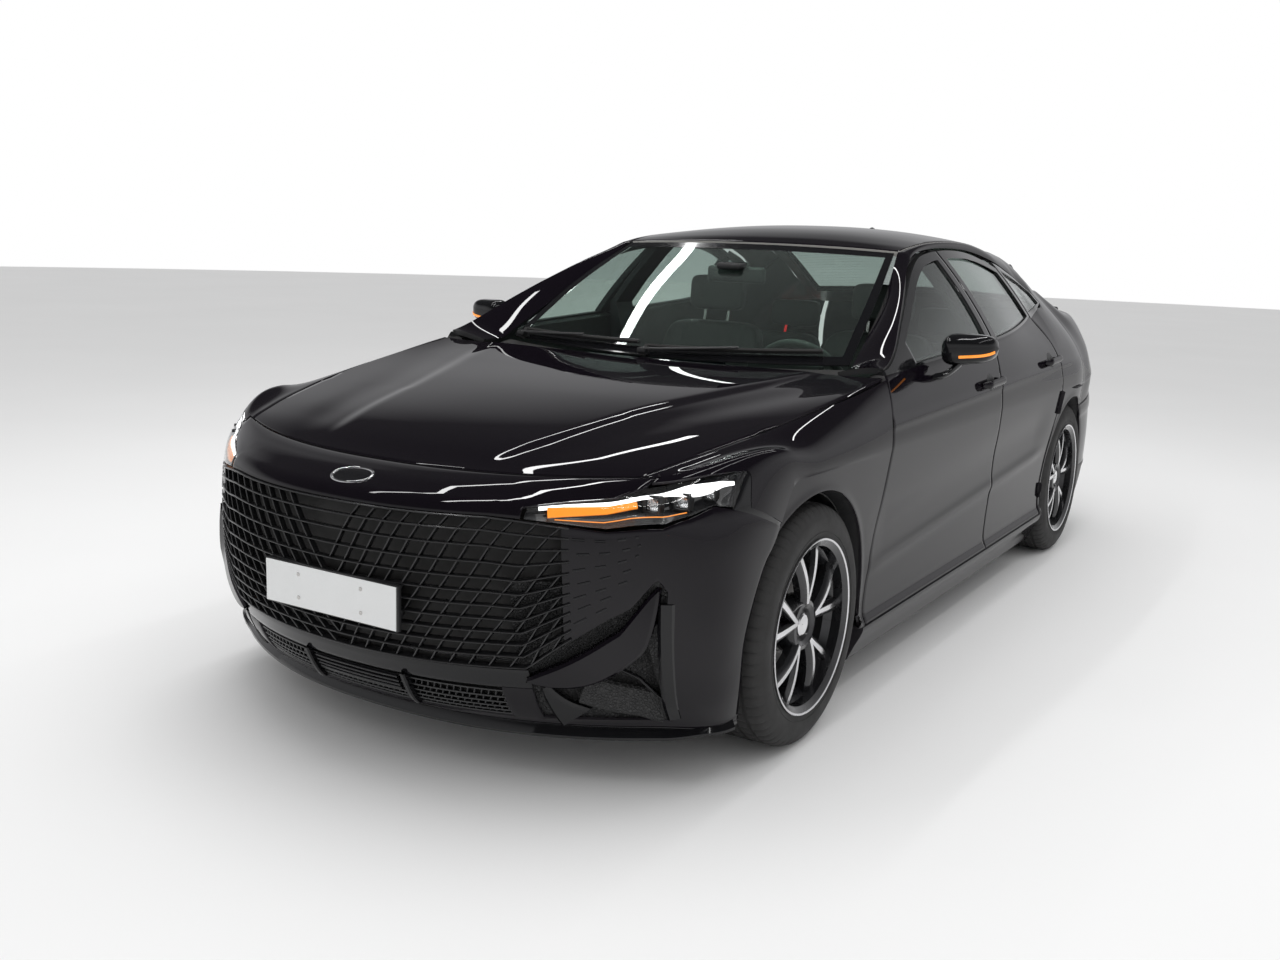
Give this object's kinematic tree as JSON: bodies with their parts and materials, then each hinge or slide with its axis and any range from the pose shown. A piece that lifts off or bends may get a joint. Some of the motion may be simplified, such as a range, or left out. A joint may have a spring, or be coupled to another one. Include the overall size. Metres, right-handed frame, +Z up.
{
  "type": "sedan car",
  "caption": "Low fastback family sedan with opening doors, hood and rear liftgate, steered front wheels, full cabin and alloy wheels.",
  "frame": {"origin": "on the ground under the middle of the car's length and width", "axes": "+Y towards the rear, +X to the car's left side, +Z up"},
  "size_m": [2.0692, 4.6777, 1.4114],
  "materials": {
    "paint": "high gloss near-black metallic",
    "structure": "satin black coating",
    "trim": "fine grained black",
    "grille": "gloss black",
    "glass": "clear, slightly green",
    "lamp": "clear lens over bright reflectors",
    "lamp_red": "red lens",
    "iron": "machined and bare",
    "steel": "brushed",
    "alloy": "black lacquer with machined faces",
    "rubber": "matt rubber",
    "upholstery": "dark leather",
    "dash": "soft dark grey"
  },
  "bodies": {
    "body": {"underbody": "structure", "cabin_frame": "structure", "body_side_left": "paint", "body_side_right": "paint", "roof": "paint", "fixed_windows": "glass", "cowl": "trim", "front_fender_left": "paint", "front_fender_right": "paint", "front_bumper": "paint", "grille": "grille", "headlamps": "lamp", "rear_bumper": "paint", "tail_lamps": "lamp_red", "wheel_liners": "trim", "engine": "iron", "front_subframe": "structure", "rear_axle": "structure", "exhaust": "steel", "dashboard": "dash", "front_seats": "upholstery", "rear_seat": "upholstery"},
    "hood": {"hood": "paint"},
    "tailgate": {"tailgate": "paint", "rear_window": "glass"},
    "door_front_left": {"door_front_left": "paint", "window_front_left": "glass", "mirror_left": "trim"},
    "door_rear_left": {"door_rear_left": "paint", "window_rear_left": "glass"},
    "door_front_right": {"door_front_right": "paint", "window_front_right": "glass", "mirror_right": "trim"},
    "door_rear_right": {"door_rear_right": "paint", "window_rear_right": "glass"},
    "steering_wheel": {"steering_wheel": "upholstery"},
    "knuckle_left": {"knuckle_left": "iron"},
    "knuckle_right": {"knuckle_right": "iron"},
    "wheel_front_left": {"tyre_front_left": "rubber", "rim_front_left": "alloy"},
    "wheel_front_right": {"tyre_front_right": "rubber", "rim_front_right": "alloy"},
    "wheel_rear_left": {"tyre_rear_left": "rubber", "rim_rear_left": "alloy"},
    "wheel_rear_right": {"tyre_rear_right": "rubber", "rim_rear_right": "alloy"}
  },
  "joints": [
    {"name": "hood_hinge", "type": "hinge", "parent": "body", "child": "hood", "pos_m": [0, -0.887, 0.955], "axis": [-1, 0, 0], "range_deg": [0, 60]},
    {"name": "tailgate_hinge", "type": "hinge", "parent": "body", "child": "tailgate", "pos_m": [0, 1.16, 1.352], "axis": [1, 0, 0], "range_deg": [0, 65]},
    {"name": "door_front_left_hinge", "type": "hinge", "parent": "body", "child": "door_front_left", "pos_m": [0.888, -0.906, 0.6], "axis": [0, 0, -1], "range_deg": [0, 68]},
    {"name": "door_rear_left_hinge", "type": "hinge", "parent": "body", "child": "door_rear_left", "pos_m": [0.903, 0.195, 0.6], "axis": [0, 0, -1], "range_deg": [0, 68]},
    {"name": "door_front_right_hinge", "type": "hinge", "parent": "body", "child": "door_front_right", "pos_m": [-0.888, -0.906, 0.6], "axis": [0, 0, 1], "range_deg": [0, 68]},
    {"name": "door_rear_right_hinge", "type": "hinge", "parent": "body", "child": "door_rear_right", "pos_m": [-0.903, 0.195, 0.6], "axis": [0, 0, 1], "range_deg": [0, 68]},
    {"name": "steer_left", "type": "hinge", "parent": "body", "child": "knuckle_left", "pos_m": [0.68368, -1.45, 0.334], "axis": [-0.2946, 0, 0.9556], "range_deg": [-34, 34]},
    {"name": "steer_right", "type": "hinge", "parent": "body", "child": "knuckle_right", "pos_m": [-0.68368, -1.45, 0.334], "axis": [0.2946, 0, 0.9556], "range_deg": [-34, 34]},
    {"name": "steering_wheel_turn", "type": "hinge", "parent": "body", "child": "steering_wheel", "pos_m": [0.37, -0.44, 0.846], "axis": [0, 0.9135, 0.4067], "range_deg": [-476, 476]},
    {"name": "wheel_front_left_spin", "type": "hinge", "parent": "knuckle_left", "child": "wheel_front_left", "pos_m": [0.786, -1.45, 0.334], "axis": [1, 0, 0], "continuous": true},
    {"name": "wheel_rear_left_spin", "type": "hinge", "parent": "body", "child": "wheel_rear_left", "pos_m": [0.786, 1.3, 0.334], "axis": [1, 0, 0], "continuous": true},
    {"name": "wheel_front_right_spin", "type": "hinge", "parent": "knuckle_right", "child": "wheel_front_right", "pos_m": [-0.786, -1.45, 0.334], "axis": [1, 0, 0], "continuous": true},
    {"name": "wheel_rear_right_spin", "type": "hinge", "parent": "body", "child": "wheel_rear_right", "pos_m": [-0.786, 1.3, 0.334], "axis": [1, 0, 0], "continuous": true}
  ],
  "couplings": [
    {"joint": "steer_right", "follows": "steer_left", "ratio": 1},
    {"joint": "steering_wheel_turn", "follows": "steer_left", "ratio": 14}
  ]
}
